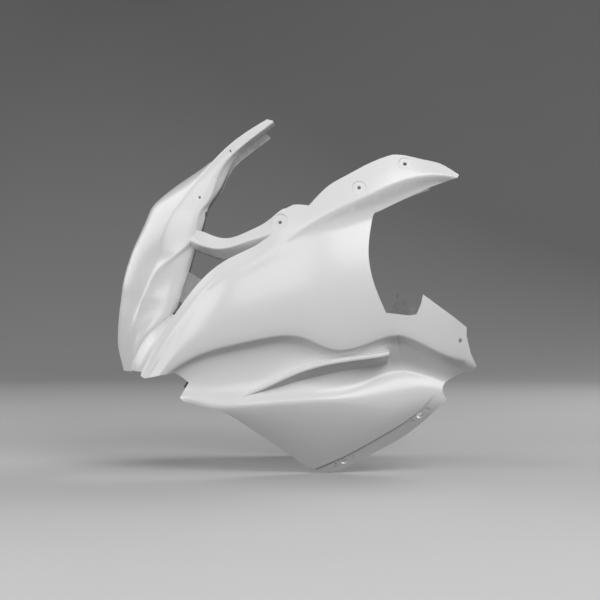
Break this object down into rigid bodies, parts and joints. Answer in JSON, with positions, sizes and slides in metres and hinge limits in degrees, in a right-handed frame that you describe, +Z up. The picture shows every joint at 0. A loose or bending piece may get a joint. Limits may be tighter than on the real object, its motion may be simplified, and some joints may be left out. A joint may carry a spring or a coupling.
{
  "type": "motorcycle fairing",
  "caption": "One-piece moulded upper race fairing with a nose, side panels, screen flanges and quarter-turn receptacles for the lower fairing.",
  "frame": {"origin": "middle of the part's box, on the bike's centre plane", "axes": "+X towards the rear of the bike, +Z up, -Y the rider's left side"},
  "size_m": [0.6462, 0.4842, 0.6343],
  "materials": {
    "gelcoat": "glossy white gelcoat outside, laminate inside",
    "plate": "zinc plated",
    "spring_wire": "spring steel",
    "rivet": "plain"
  },
  "bodies": {
    "root": {"fairing_shell": "gelcoat", "receptacle_front_left": "plate", "receptacle_front_right": "plate", "receptacle_rear_left": "plate", "receptacle_rear_right": "plate", "rivet_front_aft_left": "rivet", "rivet_front_aft_right": "rivet", "rivet_front_fore_left": "rivet", "rivet_front_fore_right": "rivet", "rivet_rear_aft_left": "rivet", "rivet_rear_aft_right": "rivet", "rivet_rear_fore_left": "rivet", "rivet_rear_fore_right": "rivet", "spring_front_left": "spring_wire", "spring_front_right": "spring_wire", "spring_rear_left": "spring_wire", "spring_rear_right": "spring_wire"}
  },
  "joints": []
}
